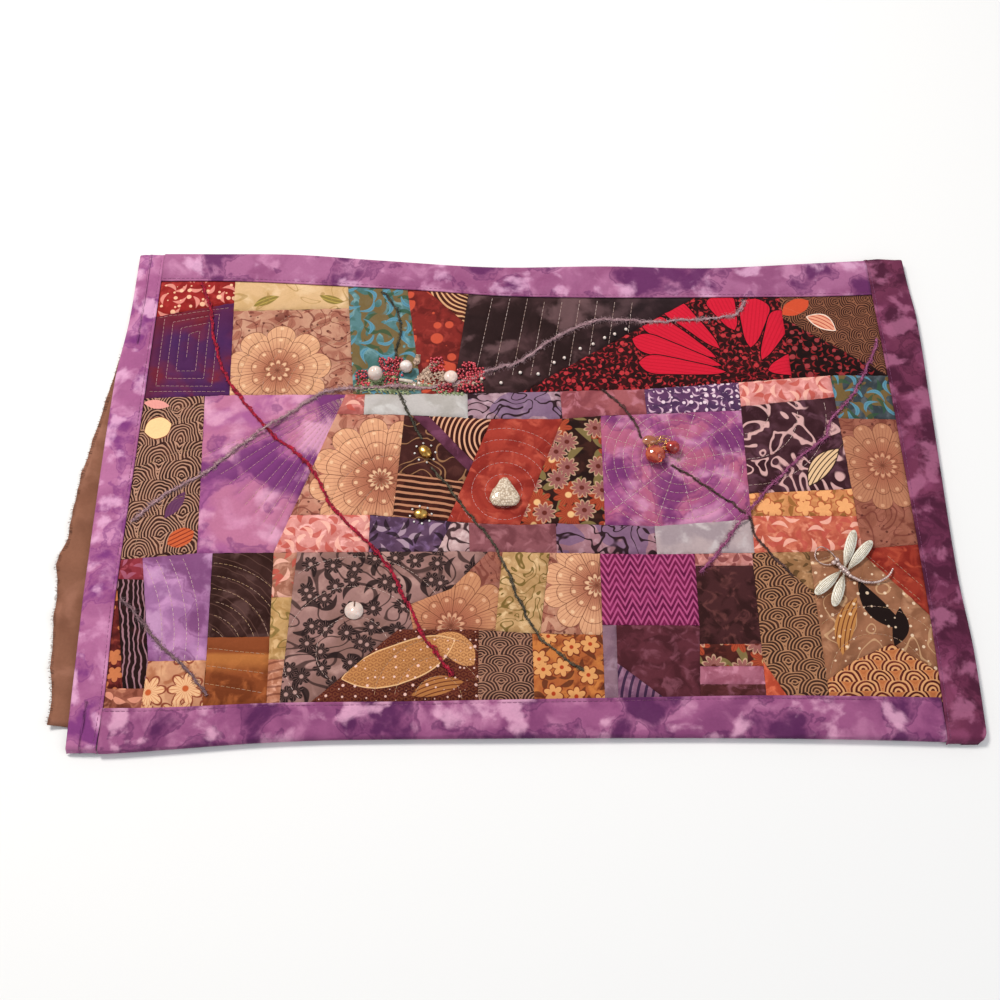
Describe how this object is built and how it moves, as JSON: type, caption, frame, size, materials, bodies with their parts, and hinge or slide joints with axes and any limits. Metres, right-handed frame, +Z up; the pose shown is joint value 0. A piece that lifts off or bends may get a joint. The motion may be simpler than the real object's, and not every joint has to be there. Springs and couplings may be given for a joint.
{
  "type": "crazy quilt",
  "caption": "Small crazy quilt of irregular cotton patches, padded and sewn through, bound with folded strips and trimmed with couched yarns, pearls, beads, a stone and a dragonfly charm.",
  "frame": {"origin": "centre of the bounding box in plan, on the surface that the quilt lies on", "axes": "+X along the quilt's long side to the right, +Y up the quilt away from the viewer, +Z up out of the pieced side"},
  "size_m": [0.5658, 0.3574, 0.0156],
  "materials": {
    "backing_cotton": "soft woven cotton",
    "pieced_cotton": "printed cotton, quilted",
    "binding_batik": "batik cotton",
    "yarn_crimson": "twisted yarn",
    "yarn_moss_upper": "twisted yarn",
    "yarn_moss_lower": "twisted yarn",
    "yarn_charcoal_upper": "twisted yarn",
    "yarn_charcoal_lower": "twisted yarn",
    "yarn_grey_plume": "twisted yarn",
    "yarn_grey_corner": "twisted yarn",
    "yarn_plum": "twisted yarn",
    "pearl": "pearly",
    "shell": "polished shell",
    "stone": "tumbled stone",
    "gold_bead": "polished",
    "red_glass": "glossy",
    "amber_glass": "glossy",
    "pewter": "cast and polished"
  },
  "bodies": {
    "root": {"backing_cloth": "backing_cotton", "quilted_panel": "pieced_cotton", "binding_left": "binding_batik", "binding_right": "binding_batik", "binding_top": "binding_batik", "binding_bottom": "binding_batik", "yarn_crimson": "yarn_crimson", "yarn_moss_upper": "yarn_moss_upper", "yarn_moss_lower": "yarn_moss_lower", "yarn_charcoal_upper": "yarn_charcoal_upper", "yarn_charcoal_lower": "yarn_charcoal_lower", "yarn_grey_plume": "yarn_grey_plume", "yarn_grey_corner": "yarn_grey_corner", "yarn_plum": "yarn_plum", "pearl_left": "pearl", "pearl_middle": "pearl", "pearl_right": "pearl", "shell_disc": "shell", "stone_nugget": "stone", "gold_bead_upper": "gold_bead", "gold_bead_lower": "gold_bead", "red_bead_large": "red_glass", "red_bead_small": "red_glass", "amber_bead": "amber_glass", "dragonfly_charm": "pewter"}
  },
  "joints": []
}
